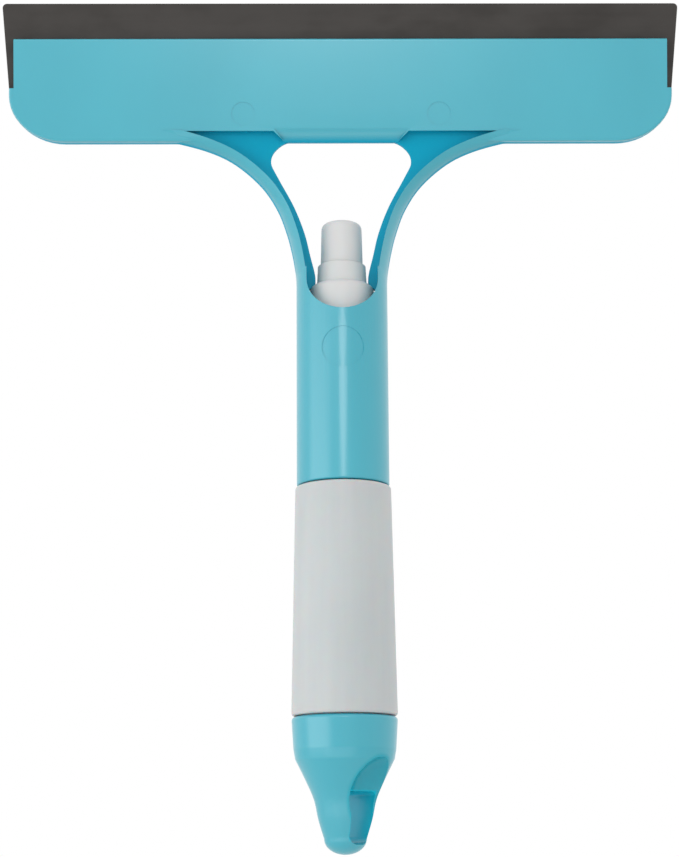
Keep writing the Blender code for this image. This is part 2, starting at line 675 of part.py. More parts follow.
def make_collar(bend, material):
    """The screw collar with the ring that guides the button."""
    shoulder = min(COLLAR_SHOULDER, 0.95 * (COLLAR_RADIUS - GUIDE_RADIUS))
    crown = DECK_TOP + COLLAR_CROWN
    profile = [(GUIDE_BORE + GUIDE_WALL_TOP, GUIDE_TOP, GUIDE_ROUND), (GUIDE_RADIUS, crown),
               (COLLAR_RADIUS, crown, shoulder), (COLLAR_RADIUS, COLLAR_FOOT),
               (COLLAR_BORE, COLLAR_FOOT), (COLLAR_BORE, DECK_UNDER), (DECK_HOLE, DECK_UNDER),
               (DECK_HOLE, DECK_TOP), (GUIDE_BORE, DECK_TOP), (GUIDE_BORE, GUIDE_TOP)]
    return turned("sprayer_collar", rounded_path(profile), bend, material, COLLAR_STEPS)


def make_pump_gland(bend, material):
    """Guides the stem and stops the piston at the top of its stroke."""
    flange = NECK_RADIUS - GLAND_INSET
    top = DECK_TOP
    foot = FLANGE_TOP - GLAND_PLUG
    profile = [(CYLINDER_RADIUS, top), (CYLINDER_RADIUS, GLAND_TOP), (flange, GLAND_TOP),
               (flange, GLAND_TOP - GLAND_FLANGE), (PISTON_RADIUS, GLAND_TOP - GLAND_FLANGE),
               (PISTON_RADIUS, foot), (STEM_SOCKET, foot), (STEM_SOCKET, top)]
    return turned("pump_gland", profile, bend, material)


def make_pump_cylinder(bend, material):
    foot_radius = DIP_SOCKET_BORE + CYLINDER_WALL
    ledge = BALL_RADIUS - BALL_LIP_INSET
    profile = [(NECK_RADIUS, FLANGE_TOP), (NECK_RADIUS, FLANGE_UNDER), (CYLINDER_RADIUS, FLANGE_UNDER),
               (CYLINDER_RADIUS, BALL_CHAMBER_TOP), (foot_radius, BALL_CHAMBER_TOP - CYLINDER_TAPER),
               (foot_radius, SOCKET_END), (DIP_SOCKET_BORE, SOCKET_END), (DIP_SOCKET_BORE, SOCKET_TOP),
               (INLET_RADIUS, SOCKET_TOP), (INLET_RADIUS, SEAT_FOOT), (BALL_CHAMBER_RADIUS, SEAT_TOP),
               (BALL_CHAMBER_RADIUS, BALL_CHAMBER_TOP), (ledge, BALL_CHAMBER_TOP), (ledge, SPRING_SEAT),
               (CYLINDER_BORE, SPRING_SEAT), (CYLINDER_BORE, FLANGE_TOP)]
    return turned("pump_cylinder", profile, bend, material)


def make_gasket(bend, material):
    foot = GASKET_TOP - GASKET_THICK
    ring = [(NECK_RADIUS, GASKET_TOP), (NECK_RADIUS, foot), (DECK_HOLE, foot), (DECK_HOLE, GASKET_TOP)]
    return turned("collar_gasket", ring, bend, material)


def make_stem(pump, material):
    """A hollow stem, closed at its foot, with a cross port that the piston covers."""
    foot = STEM_FOOT_TOP - STEM_FOOT_THICK
    profile = [(0, STEM_FOOT_TOP), (STEM_BORE, STEM_FOOT_TOP), (STEM_BORE, STEM_TOP),
               (STEM_RADIUS, STEM_TOP), (STEM_RADIUS, STEM_FOOT_TOP), (STEM_FOOT_RADIUS, STEM_FOOT_TOP),
               (STEM_FOOT_RADIUS, foot), (0, foot)]
    stem = turned("pump_stem", profile, pump, material, closed=False)
    height = STEM_FOOT_TOP + 2 * STEM_PORT_RADIUS
    ends = ((-STEM_RADIUS * 2, 0, height), (STEM_RADIUS * 2, 0, height))
    cut(stem, rod("port_cutter", STEM_PORT_RADIUS, *ends, pump, steps=WIRE_STEPS))
    return stem


def make_piston(pump, material):
    """A soft ring with a sealing lip at each end."""
    foot = PISTON_TOP - PISTON_LENGTH
    waist = PISTON_RADIUS - PISTON_WAIST
    lip = PISTON_LENGTH / 4
    profile = [(PISTON_RADIUS, PISTON_TOP), (waist, PISTON_TOP - lip), (waist, foot + lip),
               (PISTON_RADIUS, foot), (STEM_SOCKET, foot), (STEM_SOCKET, PISTON_TOP)]
    return turned("stem_piston", profile, pump, material)


def make_spring(bend, material):
    """A wire coil with a level turn at each end, as long as its space under the stem."""
    radius = PISTON_RADIUS - SPRING_WIRE - SPRING_ROOM
    low = SPRING_SEAT + GAP + SPRING_WIRE
    high = SPRING_TOP - SPRING_WIRE
    curve = bpy.data.curves.new("pump_spring", "CURVE")
    curve.dimensions = "3D"
    curve.bevel_depth = SPRING_WIRE
    curve.bevel_resolution = 2
    curve.use_fill_caps = True
    line = curve.splines.new("POLY")
    count = SPRING_TURNS * SPRING_POINTS
    line.points.add(count)
    end_rise = 2.4 * SPRING_WIRE            # an end turn clears the next one
    middle_rise = (high - low - 2 * end_rise) / (SPRING_TURNS - 2)
    height = low
    for index in range(count + 1):
        angle = 2 * math.pi * index / SPRING_POINTS
        line.points[index].co = (radius * math.cos(angle), radius * math.sin(angle), height, 1.0)
        in_end_turn = index < SPRING_POINTS or index >= count - SPRING_POINTS
        height += (end_rise if in_end_turn else middle_rise) / SPRING_POINTS
    made = bpy.data.objects.new("pump_spring", curve)
    made.parent = bend
    curve.materials.append(material)
    PARTS.objects.link(made)
    return made


def make_ball(bend, material):
    bm = bmesh.new()
    bmesh.ops.create_uvsphere(bm, u_segments=WIRE_STEPS, v_segments=WIRE_STEPS // 2, radius=BALL_RADIUS)
    ball = place("inlet_ball", mesh_from("inlet_ball", bm), bend, material)
    ball.location.z = BALL_CENTRE
    return ball


def make_dip_tube(bend, material):
    top = SOCKET_TOP - GAP
    ring = [(DIP_RADIUS, top), (DIP_RADIUS, DIP_END), (DIP_BORE, DIP_END), (DIP_BORE, top)]
    return turned("dip_tube", ring, bend, material, WIRE_STEPS)


def make_button(pump, material):
    """The spray button: a skirt, a boss for the stem, and a channel across to the nozzle."""
    roof = BUTTON_TOP - BUTTON_ROOF
    inside = BUTTON_RADIUS_FOOT - BUTTON_WALL
    boss = STEM_SOCKET + BOSS_WALL
    socket_top = STEM_TOP + GAP
    corners = [(0, BUTTON_TOP), (BUTTON_RADIUS_TOP, BUTTON_TOP - BUTTON_CROWN, BUTTON_ROUND),
               (BUTTON_RADIUS_FOOT, BUTTON_FOOT), (inside, BUTTON_FOOT), (inside, roof),
               (boss, roof), (boss, BUTTON_FOOT + GAP), (STEM_SOCKET, BUTTON_FOOT + GAP),
               (STEM_SOCKET, socket_top), (0, socket_top)]
    path = rounded_path(corners, closed=False, pieces=4)
    button = turned("spray_button", path, pump, material, COLLAR_STEPS, closed=False)
    height = BUTTON_TOP - NOZZLE_BELOW_TOP
    seat = BUTTON_RADIUS_TOP - NOZZLE_LENGTH - 2 * GAP
    bores = [("riser_cutter", CHANNEL_RADIUS, (0, 0, STEM_TOP), (0, 0, height + CHANNEL_RADIUS / 2)),
             ("channel_cutter", CHANNEL_RADIUS, (0, -CHANNEL_RADIUS / 2, height), (0, seat * 1.3, height)),
             ("nozzle_seat_cutter", NOZZLE_RADIUS + GAP, (0, seat, height),
              (0, BUTTON_RADIUS_TOP * 2, height))]
    for name, radius, start, end in bores:
        cut(button, rod(name, radius, start, end, pump, WIRE_STEPS))
    return button


def make_nozzle(pump, material):
    """The pressed-in nozzle disc with its fine orifice and a small dished front."""
    profile = [(NOZZLE_RADIUS, NOZZLE_LENGTH), (NOZZLE_RADIUS, 0), (ORIFICE_RADIUS, 0),
               (ORIFICE_RADIUS, NOZZLE_LENGTH - NOZZLE_DISH), (NOZZLE_RADIUS * 0.6, NOZZLE_LENGTH)]
    nozzle = turned("spray_nozzle", profile, pump, material)
    nozzle.rotation_euler.x = -math.pi / 2
    nozzle.location = (0, BUTTON_RADIUS_TOP - NOZZLE_LENGTH - GAP, BUTTON_TOP - NOZZLE_BELOW_TOP)
    return nozzle


# ---------------------------------------------------------------- the whole squeegee

def make_squeegee():
    blue = new_material("blue_plastic", (0.12, 0.50, 0.60), 0.35)
    rubber = new_material("dark_rubber", (0.065, 0.058, 0.052), 0.70)
    milky = new_material("milky_plastic", (0.72, 0.75, 0.75), 0.40, alpha=0.85)
    white = new_material("white_plastic", (0.78, 0.79, 0.78), 0.35)
    clear = new_material("clear_tube", (0.85, 0.87, 0.87), 0.25, alpha=0.6)
    soft = new_material("soft_seal", (0.80, 0.80, 0.78), 0.60)
    steel = new_material("steel", (0.60, 0.60, 0.60), 0.25, metallic=1.0)

    bend = new_empty("bend", (0, 0, GRIP_BELOW_BEND))
    lean = new_empty("plate_lean", bent((0, 0, 0)), LEAN, bend)
    pump = new_empty("pump_axis", (0, 0, 0), parent=bend)
    cap_axis = new_empty("cap_axis", (0, 0, CAP_RIM), parent=bend)

    make_handle_frame(bend, lean, blue)
    make_blade(lean, rubber)
    make_bottle(bend, milky)
    make_end_cap(cap_axis, blue)
    make_end_cap_seal(cap_axis, soft)
    make_collar(bend, white)
    make_gasket(bend, soft)
    make_pump_gland(bend, white)
    make_pump_cylinder(bend, milky)
    make_spring(bend, steel)
    make_ball(bend, steel)
    make_dip_tube(bend, clear)
    make_stem(pump, white)
    make_piston(pump, soft)
    make_button(pump, white)
    make_nozzle(pump, white)


clear_scene()
PARTS = new_collection("window_squeegee")
CUTTERS = new_collection("cutters")
make_squeegee()
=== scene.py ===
# %% [markdown]
# # A spray squeegee, from a fixed frame to a finished picture
# The squeegee is one blue moulding with a rubber blade, and a milky spray bottle as the lower half of
# its grip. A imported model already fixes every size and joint. This lesson gives each visible piece a
# finer shape and a real finish, and never moves what the frame holds.

# %% Load the frame
import json
import math

import bpy
from mathutils import Matrix, Vector


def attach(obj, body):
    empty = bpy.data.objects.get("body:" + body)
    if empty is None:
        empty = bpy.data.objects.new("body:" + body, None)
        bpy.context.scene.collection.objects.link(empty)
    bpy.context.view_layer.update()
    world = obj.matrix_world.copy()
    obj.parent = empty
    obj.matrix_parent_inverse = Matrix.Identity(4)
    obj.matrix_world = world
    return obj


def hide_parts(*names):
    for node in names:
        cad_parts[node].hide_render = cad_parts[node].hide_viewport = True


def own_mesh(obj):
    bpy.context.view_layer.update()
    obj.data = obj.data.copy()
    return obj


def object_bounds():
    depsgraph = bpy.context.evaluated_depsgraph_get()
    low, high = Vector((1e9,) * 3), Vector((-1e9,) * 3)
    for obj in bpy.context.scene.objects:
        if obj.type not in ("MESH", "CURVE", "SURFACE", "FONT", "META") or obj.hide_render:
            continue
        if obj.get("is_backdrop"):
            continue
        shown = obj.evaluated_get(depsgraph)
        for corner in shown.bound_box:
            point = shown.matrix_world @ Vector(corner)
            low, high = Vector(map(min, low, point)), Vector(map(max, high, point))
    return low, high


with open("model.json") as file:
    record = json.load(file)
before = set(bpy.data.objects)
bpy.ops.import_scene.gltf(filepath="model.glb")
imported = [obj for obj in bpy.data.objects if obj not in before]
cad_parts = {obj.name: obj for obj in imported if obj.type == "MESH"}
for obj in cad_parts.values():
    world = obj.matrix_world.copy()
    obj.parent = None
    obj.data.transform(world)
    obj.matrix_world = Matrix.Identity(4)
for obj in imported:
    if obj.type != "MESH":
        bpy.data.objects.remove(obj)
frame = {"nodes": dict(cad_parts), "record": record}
cad_low, cad_high = (list(map(float, corner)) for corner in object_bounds())
print("CAD box in mm:", [round(1000 * (b - a), 1) for a, b in zip(cad_low, cad_high)])

# %% [markdown]
# The blade plate leans 12.5 degrees from the handle's axis, towards the user. Everything on the plate,
# and the camera that faces it, is easiest to place in the plate's own directions, so they are worked
# out once: `up` runs from the handle to the blade, and `face` points out of the user's side.

# %% The plate's own directions
LEAN = math.radians(12.5)
PLATE_THICK = 0.0072
up = Vector((0, -math.sin(LEAN), math.cos(LEAN)))
face = Vector((0, -math.cos(LEAN), -math.sin(LEAN)))
mount = next(m for m in frame["record"]["mounts"] if m["name"] == "plate_user_face")
MOUNT_HEIGHT = 0.018        # the mount's place above the plate's lower edge
plate_foot = Vector(mount["pos_m"]) - face * PLATE_THICK / 2 - up * MOUNT_HEIGHT
print("plate's lower edge in mm:", [round(1000 * v, 2) for v in plate_foot])

# %% [markdown]
# The camera looks almost squarely at the plate from the user's side, far enough away for a long lens,
# and its middle falls on the lower part of the tube. Since the plate leans, the camera looks slightly
# upwards. It stands a hair to the left and is rolled a little, as a hand-held camera is.

# %% Camera
DISTANCE = 0.624
AIM_BELOW_PLATE = 0.0891
YAW = math.radians(0.7)
ROLL = math.radians(0.2)
SIDE_STEP = -0.0008         # the aim stands this far off the middle
LENS, SENSOR_HEIGHT = 84.0, 36.0        # in millimetres, as lenses are named
side = up.cross(face)
aim = plate_foot - up * AIM_BELOW_PLATE + side * SIDE_STEP
camera_data = bpy.data.cameras.new("camera")
camera_data.sensor_fit = "VERTICAL"
camera_data.sensor_height = SENSOR_HEIGHT
camera_data.lens = LENS
camera = bpy.data.objects.new("camera", camera_data)
bpy.context.scene.collection.objects.link(camera)
turn = Matrix((side, up, face)).transposed().to_4x4()
camera.matrix_world = (Matrix.Translation(aim) @ turn @ Matrix.Rotation(-YAW, 4, "Y")
                       @ Matrix.Translation((0, 0, DISTANCE)) @ Matrix.Rotation(-ROLL, 4, "Z"))
bpy.context.scene.camera = camera
print("camera at mm:", [round(1000 * v) for v in camera.matrix_world.translation])

# %% [markdown]
# A plain studio: a white surround gives soft light from everywhere, one large lamp on the left gives
# the shapes a direction, a smaller one carries its sheen towards the middle, a low one lights what faces
# down, and a narrow tall lamp in front draws one soft streak down the tube. The front lamps hang higher
# or lower than the camera, so the leaning plate, which faces the camera squarely, doesn't mirror them.

# %% Studio
world = bpy.data.worlds.new("studio")
world.use_nodes = True
world.node_tree.nodes["Background"].inputs["Color"].default_value = (1.0, 1.0, 1.0, 1.0)
world.node_tree.nodes["Background"].inputs["Strength"].default_value = 1.0
bpy.context.scene.world = world
bpy.context.scene.view_settings.view_transform = "Standard"


def add_lamp(name, place, target, size, power):
    """A soft box, `size` wide and high, that faces its target."""
    lamp_data = bpy.data.lights.new(name, "AREA")
    lamp_data.shape = "RECTANGLE"
    lamp_data.size, lamp_data.size_y = size
    lamp_data.energy = power
    lamp = bpy.data.objects.new(name, lamp_data)
    bpy.context.scene.collection.objects.link(lamp)
    lamp.location = place
    lamp.rotation_euler = (Vector(target) - Vector(place)).to_track_quat("-Z", "Y").to_euler()
    return lamp


add_lamp("left_soft_box", (-1.02, -0.56, 0.05), (0, 0, 0.03), (1.2, 0.72), 3.4)
add_lamp("front_left_box", (-0.45, -0.98, 0.52), (0, 0, 0.03), (0.45, 0.4), 0.30)
add_lamp("front_strip", (0.0, -1.1, 0.33), (0, 0, 0.05), (0.05, 0.30), 0.80)
add_lamp("low_front_box", (-0.15, -0.60, -0.31), (0, 0, 0.10), (0.9, 0.16), 0.3)

FLOOR_BELOW = 0.25
FLOOR_SIZE = 6.0
bpy.ops.mesh.primitive_plane_add(size=FLOOR_SIZE, location=(0, 0, cad_low[2] - FLOOR_BELOW))
floor = bpy.context.object
floor.name = "floor"
floor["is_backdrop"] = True

# %% [markdown]
# ## Finishes
# A finish is a small graph of shader nodes. Writing it as sums keeps it readable: `Signal` wraps a
# node's output and adds a Math node for each operator, and `Finish.add` makes any other node.

# %% Shader helpers
class Signal:
    """One output of a shader node, which can be used in sums."""

    def __init__(self, finish, socket):
        self.finish, self.socket = finish, socket

    def maths(self, operation, first, second):
        return self.finish.add("ShaderNodeMath", {"operation": operation}, {0: first, 1: second})

    def __add__(self, other):
        return self.maths("ADD", self, other)

    def __sub__(self, other):
        return self.maths("SUBTRACT", self, other)

    def __rsub__(self, other):
        return self.maths("SUBTRACT", other, self)

    def __mul__(self, other):
        return self.maths("MULTIPLY", self, other)

    def size(self):
        """The same value without its sign."""
        return self.finish.add("ShaderNodeMath", {"operation": "ABSOLUTE"}, {0: self})

    def over(self, low, high):
        """0 below low, 1 above high, and a soft step between them."""
        return self.finish.add("ShaderNodeMapRange", {"interpolation_type": "SMOOTHSTEP"},
                               {"Value": self, "From Min": low, "From Max": high})


NOISE_SPAN = (0.3, 0.7)     # nearly all of a soft noise lies between these


class Finish:
    """A material with a Principled shader, and one way to add nodes to it."""

    def __init__(self, name, **constants):
        self.material = bpy.data.materials.new(name)
        self.material.use_nodes = True
        self.tree = self.material.node_tree
        self.shader = self.tree.nodes["Principled BSDF"]
        for socket, value in constants.items():
            self.shader.inputs[socket.replace("_", " ")].default_value = value
        self.place = self.add("ShaderNodeTexCoord", {}, {}, "Object")
        self.x, self.y, self.z = (self.add("ShaderNodeSeparateXYZ", {}, {"Vector": self.place}, axis)
                                  for axis in "XYZ")

    def add(self, kind, settings, inputs, output=0):
        node = self.tree.nodes.new(kind)
        for setting, value in settings.items():
            setattr(node, setting, value)
        for socket, value in inputs.items():
            self.feed(node.inputs[socket], value)
        return Signal(self, node.outputs[output])

    def feed(self, socket, value):
        if isinstance(value, Signal):
            self.tree.links.new(value.socket, socket)
        else:
            socket.default_value = value

    def set(self, socket, value):
        self.feed(self.shader.inputs[socket], value)

    def noise(self, scale, detail=3.0, stretch=(1, 1, 1)):
        """Soft noise from 0 to 1, `scale` bumps to a metre, squeezed by `stretch`."""
        spot = self.add("ShaderNodeMapping", {}, {"Vector": self.place, "Scale": stretch})
        return self.add("ShaderNodeTexNoise", {}, {"Vector": spot, "Scale": scale, "Detail": detail})

    def between(self, share, low, high):
        """Spreads the usual span of a noise over low to high, and holds it to that range."""
        return self.add("ShaderNodeMapRange", {}, {"Value": share, "From Min": NOISE_SPAN[0],
                                                   "From Max": NOISE_SPAN[1], "To Min": low, "To Max": high})

    def blend(self, share, first, second):
        """Mixes two colours."""
        return self.add("ShaderNodeMix", {"data_type": "RGBA"}, {"Factor": share, 6: first, 7: second}, 2)

    def bump(self, height, depth):
        """Raises the surface by height times depth, in metres."""
        return self.add("ShaderNodeBump", {}, {"Height": height, "Distance": depth, "Strength": 1.0})


def colour(red, green, blue):
    """A screen colour from 0 to 255, as the linear light that a shader works in."""
    linear = [((v / 255 + 0.055) / 1.055) ** 2.4 if v > 10 else v / 3294.6 for v in (red, green, blue)]
    return (*linear, 1.0)


# %% [markdown]
# The blue moulding is coloured polypropylene with a satin skin. Its pigment is a very deep turquoise:
# what makes the broad faces look pale is the skin, which mirrors a little of the bright room. So the
# base stays deep and almost without gloss, and a coat with a high index carries the veil. Shade is
# painted where the walls hide the room: the coat is turned down in the sunk webs, in the hollows at the
# eye's mouths and inside the hanging eye, and the sunk webs take a deeper painted-shade colour. The
# eye's walls take a brighter colour, painted bounce light. The pigment also swirls a little where the
# melt flowed.

# %% Blue plastic
BEND_START = 0.100          # world height where the arms begin to lean
BEND_RADIUS = 0.030 / LEAN
TUBE_TOP = 0.088
CAP_RIM = -0.0478
EYE_TURN = math.radians(47)
EYE_TOP, EYE_FOOT = 0.0216, 0.0369      # depths below the cap's rim
EYE_HALF, EYE_TAPER = 0.0058, 0.144     # half the eye's width at its top, and its loss with depth
SCOOP_OUT, SCOOP_DOWN = 0.0160, 0.0242  # the middle of each hollow: from the axis, and below the rim
SCOOP_SIZE = (0.0090, 0.0121, 0.0122)   # its three half widths
WEB_SKIN = (0.0011, 0.0026)             # from the middle surface: past the webs, short of the ribs
THROAT_HALF = (0.0109, 0.0114)          # half widths between the throat's walls
WEB_FOOT = (0.0700, 0.0730)             # heights over which the webs begin
POCKET_TOP = (0.1345, 0.1385)           # and over which the pockets end


def pocket_shade_mask(finish):
    """1 on the thin webs and the pockets' floors, close to the head's middle surface, where shade is painted.
    """
    above = finish.add("ShaderNodeMath", {"operation": "MAXIMUM"}, {0: finish.z - BEND_START, 1: 0.0})
    middle = above * above * (-0.5 / BEND_RADIUS)
    near_middle = 1.0 - (finish.y - middle).size().over(*WEB_SKIN)
    between_walls = 1.0 - finish.x.size().over(*THROAT_HALF)
    on_arm = finish.z.over(TUBE_TOP - 0.002, TUBE_TOP + 0.004)
    sideways = finish.add("ShaderNodeMath", {"operation": "MAXIMUM"}, {0: between_walls, 1: on_arm})
    return near_middle * sideways * finish.z.over(*WEB_FOOT) * (1.0 - finish.z.over(*POCKET_TOP))


def cap_directions(finish):
    """Across the eye, along it, and the depth below the cap's rim."""
    across = finish.x * math.cos(EYE_TURN) + finish.y * math.sin(EYE_TURN)
    along = finish.y * math.cos(EYE_TURN) - finish.x * math.sin(EYE_TURN)
    return across, along.size(), CAP_RIM - finish.z


def eye_painted_light_mask(finish):
    """1 on the walls of the hanging eye, which narrows as it runs down the tail; there bounce light and shade
    are painted.
    """
    across, along, depth = cap_directions(finish)
    half = EYE_HALF + 0.0001 - (depth - EYE_TOP) * EYE_TAPER
    beside = 1.0 - (across.size() - half).over(-0.0003, 0.0002)
    level = depth.over(0.0208, 0.0219) * (1.0 - depth.over(0.0346, 0.0364))
    return beside * level * (1.0 - along.over(0.0064, 0.0090))


def scoop_shade_mask(finish):
    """1 on the walls of the hollows that flare the eye's mouths, where shade is painted on the coat."""
    across, along, depth = cap_directions(finish)
    beside = across * (1 / SCOOP_SIZE[0])
    out = (along - SCOOP_OUT) * (1 / SCOOP_SIZE[1])
    down = (depth - SCOOP_DOWN) * (1 / SCOOP_SIZE[2])
    return 1.0 - (beside * beside + out * out + down * down).over(1.0, 1.25)


def make_blue():
    finish = Finish("blue_plastic", IOR=1.45, Specular_IOR_Level=0.05, Coat_IOR=1.85,
                    Coat_Roughness=0.28, Subsurface_Weight=0.06, Subsurface_Scale=0.003)
    flow = finish.noise(28.0, 4.0, (1.0, 1.0, 0.5))
    outer = finish.blend(finish.between(flow, 0.0, 1.0), colour(18, 155, 174), colour(27, 161, 180))
    pocket_shade, eye, scoop_shade = pocket_shade_mask(finish), eye_painted_light_mask(finish), scoop_shade_mask(finish)
    # Painted shade: the pocket floors and webs get a deeper colour that stands in for the shade of the pocket
    # walls.
    shade = finish.blend(pocket_shade, outer, colour(2, 153, 184))
    # Painted bounce light: the eye's walls get a brighter colour for light bouncing inside the eye.
    finish.set("Base Color", finish.blend(eye, shade, colour(5, 183, 206)))
    # Painted shade: the coat's sheen is turned down in the pockets, inside the eye and in its hollows, where
    # the room's reflection is hidden.
    finish.set("Coat Weight", (1.0 - pocket_shade * 0.95) * (1.0 - eye * 0.9) * (1.0 - scoop_shade * 0.55))
    finish.set("Roughness", finish.between(finish.noise(160.0, 3.0), 0.45, 0.58))
    grain = finish.noise(2600.0, 2.0)
    ripple = finish.noise(90.0, 1.0)
    finish.set("Normal", finish.bump(grain * 0.25 + ripple, 0.00003))
    return finish.material


blue_plastic = make_blue()

# %% [markdown]
# The sprayer is white polypropylene with a satin finish: slightly translucent, with a fine grain and a
# polish that wanders from place to place.

# %% White plastic
def make_white():
    finish = Finish("white_plastic", IOR=1.49, Subsurface_Weight=0.15, Subsurface_Scale=0.004)
    flow = finish.noise(60.0, 3.0, (1.0, 1.0, 0.5))
    finish.set("Base Color", finish.blend(finish.between(flow, 0.0, 1.0), colour(199, 199, 199),
                                          colour(206, 206, 206)))
    finish.set("Roughness", finish.between(finish.noise(200.0, 3.0), 0.33, 0.46))
    grain = finish.noise(2600.0, 2.0)
    finish.set("Normal", finish.bump(grain * 0.3 + finish.noise(140.0, 1.0), 0.00002))
    return finish.material


white_plastic = make_white()

# %% [markdown]
# The blade is dark, slightly brown rubber. Talc from its mould leaves faint pale smudges, and its skin
# is matt with a fine tooth.

# %% Rubber
def make_rubber():
    finish = Finish("dark_rubber", IOR=1.5, Specular_IOR_Level=0.4)
    smudge = finish.between(finish.noise(45.0, 5.0, (1.0, 1.0, 2.0)), 0.0, 1.0)
    streak = finish.between(finish.noise(60.0, 2.0, (0.15, 1.0, 4.0)), 0.0, 1.0)
    share = smudge * 0.55 + streak * 0.35
    finish.set("Base Color", finish.blend(share, colour(38, 34, 31), colour(54, 50, 47)))
    finish.set("Roughness", finish.between(smudge, 0.62, 0.48))
    tooth = finish.noise(3200.0, 2.0)
    finish.set("Normal", finish.bump(tooth, 0.00002))
    return finish.material


dark_rubber = make_rubber()

# %% [markdown]
# The bottle is blown from natural polyethylene: milky, a little grey, and lit from within. Blowing
# draws faint streaks along it, so the noise is squeezed across the bottle and stretched along it.

# %% Milky bottle and clear tube
def make_milky(name, low, high, glow):
    finish = Finish(name, IOR=1.5, Subsurface_Weight=glow, Subsurface_Scale=0.006)
    streak = finish.noise(240.0, 3.0, (1.0, 1.0, 0.06))
    cloud = finish.noise(38.0, 3.0)
    share = finish.between(streak, 0.0, 1.0) * 0.45 + finish.between(cloud, 0.0, 1.0) * 0.55
    finish.set("Base Color", finish.blend(share, low, high))
    finish.set("Roughness", finish.between(cloud, 0.42, 0.52))
    skin = finish.noise(900.0, 2.0, (1.0, 1.0, 0.4))
    finish.set("Normal", finish.bump(skin * 0.4 + streak, 0.00004))
    return finish.material


milky_plastic = make_milky("milky_plastic", colour(181, 185, 187), colour(190, 192, 193), 0.5)
clear_tube = make_milky("clear_tube", colour(222, 226, 226), colour(232, 235, 235), 0.1)

# %% [markdown]
# The seals are soft foam with open pores, and the spring and ball are drawn and ground steel, whose
# marks run round the wire. Both lie inside, but the pump comes apart, so they are finished too.

# %% Foam, steel and floor
def make_foam():
    finish = Finish("soft_seal", IOR=1.45)
    pores = finish.add("ShaderNodeTexVoronoi", {}, {"Vector": finish.place, "Scale": 2400.0}, "Distance")
    finish.set("Base Color", finish.blend(pores, colour(196, 194, 188), colour(226, 225, 220)))
    finish.set("Roughness", finish.between(pores, 0.7, 0.85))
    finish.set("Normal", finish.bump(pores, 0.00006))
    return finish.material


def make_steel():
    finish = Finish("steel", Metallic=1.0)
    drawn = finish.noise(5200.0, 2.0, (1.0, 1.0, 0.15))
    finish.set("Base Color", finish.blend(drawn, colour(178, 178, 180), colour(205, 206, 208)))
    finish.set("Roughness", finish.between(drawn, 0.18, 0.34))
    finish.set("Normal", finish.bump(drawn, 0.000004))
    return finish.material


soft_seal = make_foam()
steel = make_steel()


def make_floor_finish():
    finish = Finish("pale_floor", Roughness=0.6)
    mottle = finish.noise(3.0, 3.0)
    finish.set("Base Color", finish.blend(mottle, (0.80, 0.80, 0.79, 1), (0.86, 0.86, 0.85, 1)))
    return finish.material


floor.data.materials.append(make_floor_finish())

# %% [markdown]
# ## Pieces
# A new piece starts from a primitive or from a copy of its CAD node. Its edges are rounded, in its
# outline or by a bevel, and then it takes its finish and its place on a body of the frame.

# %% Making helpers
def deselect():
    for item in bpy.context.selected_objects:
        item.select_set(False)


def activate(item):
    deselect()
    item.select_set(True)
    bpy.context.view_layer.objects.active = item


def apply_step(item, kind, **settings):
    """Adds a modifier with its settings and applies it."""
    activate(item)
    step = item.modifiers.new(kind.lower(), kind)
    for setting, value in settings.items():
        setattr(step, setting, value)
    bpy.ops.object.modifier_apply(modifier=step.name)


def clean(item, merge=0.00001):
    """Merges doubles and points the faces outwards."""
    activate(item)
    bpy.ops.object.mode_set(mode="EDIT")
    bpy.ops.mesh.select_all(action="SELECT")
    bpy.ops.mesh.remove_doubles(threshold=merge)
    bpy.ops.mesh.normals_make_consistent(inside=False)
    bpy.ops.object.mode_set(mode="OBJECT")


def turned(name, profile, steps=96):
    """Spins a profile of (radius, z) points round the handle's axis."""
    deselect()
    bpy.ops.mesh.primitive_plane_add(size=0.001, location=(profile[0][0], 0, profile[0][1]))
    item = bpy.context.object
    item.name = name
    bpy.ops.object.transform_apply(location=True)
    bpy.ops.object.mode_set(mode="EDIT")
    bpy.ops.mesh.select_all(action="SELECT")
    bpy.ops.mesh.merge(type="CENTER")
    for (r0, z0), (r1, z1) in zip(profile, profile[1:]):
        bpy.ops.mesh.extrude_region_move(TRANSFORM_OT_translate={"value": (r1 - r0, 0, z1 - z0)})
    bpy.ops.mesh.select_all(action="SELECT")
    bpy.ops.mesh.spin(steps=steps, angle=2 * math.pi, center=(0, 0, 0), axis=(0, 0, 1))
    bpy.ops.object.mode_set(mode="OBJECT")
    clean(item)
    return item


def soften(item, width, angle=30, segments=3):
    """Rounds every edge sharper than the angle, and shades so that broad flat faces stay flat."""
    apply_step(item, "BEVEL", width=width, segments=segments, limit_method="ANGLE",
               angle_limit=math.radians(angle))
    activate(item)
    bpy.ops.object.shade_smooth_by_angle(angle=math.radians(40))
    apply_step(item, "WEIGHTED_NORMAL", keep_sharp=True, weight=80)


def rounded(corners, pieces=6):
    """A closed outline of (radius, z) or (radius, z, round) corners; each round becomes an arc."""
    outline = []
    for index, corner in enumerate(corners):
        here = Vector(corner[:2])
        if len(corner) == 2:
            outline.append(here)
            continue
        back = (Vector(corners[index - 1][:2]) - here).normalized()
        ahead = (Vector(corners[(index + 1) % len(corners)][:2]) - here).normalized()
        half = back.angle(ahead) / 2
        centre = here + (back + ahead).normalized() * corner[2] / math.sin(half)
        spoke = here + back * corner[2] / math.tan(half) - centre
        way = 1 if back.x * ahead.y < back.y * ahead.x else -1
        outline += [centre + Matrix.Rotation(way * (math.pi - 2 * half) * step / pieces, 2) @ spoke
                    for step in range(pieces + 1)]
    return outline


